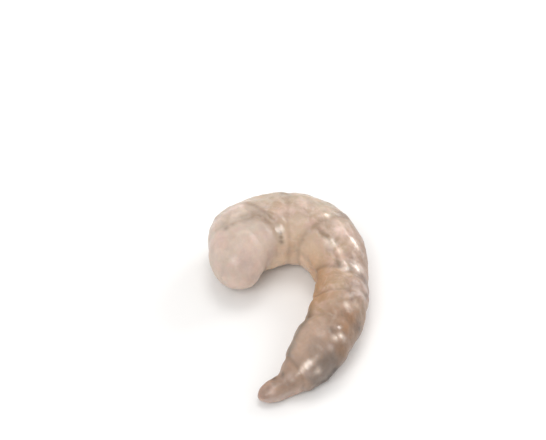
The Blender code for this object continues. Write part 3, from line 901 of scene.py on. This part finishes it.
# Painted light: the far side of the cut end, turned into the curl where shade falls, is painted
# paler
painted_light_far_side = turned.step(-0.35, -0.95) * rim.step(-12.0, -6.0)
face_colour = board.mix(painted_light_far_side * 0.8, face_colour, FACE_PAINTED_LIGHT)
near_face = rim.step(7.0, 1.0) * turned.step(-0.6, 0.2)
colour = board.mix(near_face * 0.8, colour, FACE_CREAM)
colour = board.mix(face_mask, colour, face_colour)
print("nodes so far", board.count)

# %% Marks and creases
# Streaks tear the marks' edges, as muscle fibre does
ragged = (streaks - 0.5) * 0.9
colour = board.mix((orange_mask * (1 + ragged)).clip() * 0.7, colour, PATCH_ORANGE)
# Pink muscle and painted highlights
colour = board.mix((pink_and_highlight_mask * (1 + ragged)).clip() * 0.75, colour, PATCH_PINK_AND_HIGHLIGHT)
# Painted highlights, from the patches and the streak on the sixth segment
colour = board.mix((painted_highlight_mask * (1 + ragged)).clip() * 0.85, colour, PATCH_HIGHLIGHT)
# Dark pigment marks with painted shade and a painted shadow
colour = board.mix((dark_and_shade_mask * (1 + ragged * 1.6) * 0.62).clip(), colour, PATCH_DARK_AND_SHADE)
# Painted shade along the inner flank
colour = board.mix(turn_shade_mask * (0.75 + ragged * 0.5), colour, TURN_SHADE_GREY)
# Creases: their brown and painted shade
colour = board.mix((crease_brown_and_shade_mask * (0.62 + ragged * 0.4)).clip(), colour, CREASE_BROWN_AND_SHADE)
colour = board.multiply(colour, mottle)
print("nodes in the colour", board.count)

# %% Wet film and softness
# The same all over: sockets of the shader and their values
EVERYWHERE = {
    "Coat Roughness": 0.20,
    "Coat IOR": 1.76,
    "IOR": 1.38,
    "Subsurface Weight": 0.45,
    "Subsurface Radius": (1.0, 0.55, 0.32),
    "Subsurface Scale": 3.5 * MM,
}
LEAST_WATER = 0.22
MOST_WATER = 0.75
LEAST_ROUGH = 0.32
shader = board.shader
board.feed(shader.inputs["Base Color"], colour)
film = board.noise(where, 1.6, detail=2.0)
drier = (face_mask + tail_mask + crease_brown_and_shade_mask) * 0.3
wet = (wet_mask + (film - 0.5) * 0.7 - drier).step(0.08, 0.5)
board.feed(shader.inputs["Roughness"], film * 0.25 + LEAST_ROUGH)
board.feed(shader.inputs["Coat Weight"], wet * MOST_WATER + LEAST_WATER - face_mask * 0.10)
for name, value in EVERYWHERE.items():
    shader.inputs[name].default_value = value
print("the shader has", len(EVERYWHERE), "values that are the same all over")

# %% Fine relief
# The film of water fills the small hollows, so wet places are smoother
BUMP_STRENGTH = 0.42
BUMP_HEIGHT = 0.4
fibre = board.noise(where, 0.8, detail=3.0, roughness=0.6, distortion=0.8)
grain = board.noise(where, 0.35, detail=2.0)
height = (film * 0.8 + fibre * 0.3 + grain * 0.1) * (1 - wet * 0.8)
bump = board.node("ShaderNodeBump", {},
                  {"Strength": BUMP_STRENGTH, "Distance": BUMP_HEIGHT * MM, "Height": height},
                  out="Normal")
board.feed(shader.inputs["Normal"], bump)
mesh.materials.append(board.material)
print("nodes in all", board.count)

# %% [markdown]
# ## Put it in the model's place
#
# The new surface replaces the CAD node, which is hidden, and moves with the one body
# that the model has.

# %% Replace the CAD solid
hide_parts("prawn")
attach(prawn, "root")
print("triangles", 2 * len(quads) + len(fans))

# %% [markdown]
# ## Floor, light and camera
#
# A pale floor and light from all sides keep the picture soft. Three square lamps put
# the wet highlights where they belong: one far to the right and behind lights the outer
# bend, one almost overhead the upper flank, one high in front the cut end and the tail.
# The camera looks down at 45 degrees through a long lens. It aims at a point on the
# floor behind the prawn's middle, because the prawn lies low in the picture.

# %% Floor
FLOOR_REACH = 3.0
FLOOR_LOOK = {"Base Color": (0.9, 0.9, 0.9, 1.0), "Roughness": 0.6, "Specular IOR Level": 0.2}
floor_mesh = bpy.data.meshes.new("floor")
corners = ((-1, -1), (1, -1), (1, 1), (-1, 1))
floor_mesh.from_pydata([(FLOOR_REACH * x, FLOOR_REACH * y, 0.0) for x, y in corners],
                       [], [(0, 1, 2, 3)])
floor = bpy.data.objects.new("floor", floor_mesh)
bpy.context.collection.objects.link(floor)
floor_board = Board("white_floor")
for name, value in FLOOR_LOOK.items():
    floor_board.shader.inputs[name].default_value = value
floor_mesh.materials.append(floor_board.material)
print("floor", 2 * FLOOR_REACH, "m square")

# %% Light
# Place in m, size in m, power in W and tint
LAMPS = {
    "lamp_right": ((0.50, 0.46, 0.34), 0.36, 2.2, (1.0, 0.95, 0.92)),
    "lamp_above": ((0.03, 0.27, 0.72), 0.34, 1.4, (1.0, 0.97, 0.94)),
    "lamp_front": ((-0.31, -0.57, 0.78), 0.50, 3.4, (1.0, 0.98, 0.95)),
}
ROOM_BRIGHTNESS = 0.66
for name, (place, size, power, tint) in LAMPS.items():
    data = bpy.data.lights.new(name, "AREA")
    data.size = size
    data.energy = power
    data.color = tint
    lamp = bpy.data.objects.new(name, data)
    lamp.location = place
    lamp.rotation_euler = (-Vector(place)).to_track_quat("-Z", "Y").to_euler()
    bpy.context.collection.objects.link(lamp)
world = bpy.data.worlds.new("soft_room")
world.use_nodes = True
background = world.node_tree.nodes["Background"]
background.inputs["Color"].default_value = (1.0, 1.0, 1.0, 1.0)
background.inputs["Strength"].default_value = ROOM_BRIGHTNESS
bpy.context.scene.world = world
bpy.context.scene.view_settings.view_transform = "Standard"
bpy.context.scene.view_settings.look = "None"
print("lamps", list(LAMPS))

# %% Camera
ELEVATION = math.radians(45.0)
LENS = 85.0
SENSOR = 36.0
PICTURE_WIDTH = 546
MM_PER_PIXEL = 0.28
# Where the camera aims on the floor, in mm from the front end of the centreline
AIM = (8.9, 17.2, 0.0)

distance_mm = LENS / SENSOR * PICTURE_WIDTH * MM_PER_PIXEL
aim = (np.array(AIM) - middle) * MM
back_off = np.array((0.0, -math.cos(ELEVATION), math.sin(ELEVATION)))
camera_data = bpy.data.cameras.new("camera")
camera_data.lens = LENS
camera_data.sensor_width = SENSOR
camera_data.clip_start = 0.01
camera = bpy.data.objects.new("camera", camera_data)
camera.location = aim + distance_mm * MM * back_off
camera.rotation_euler = (math.pi / 2 - ELEVATION, 0.0, 0.0)
bpy.context.collection.objects.link(camera)
bpy.context.scene.camera = camera
print("camera", round(distance_mm), "mm away, aimed at", (aim / MM).round(1))
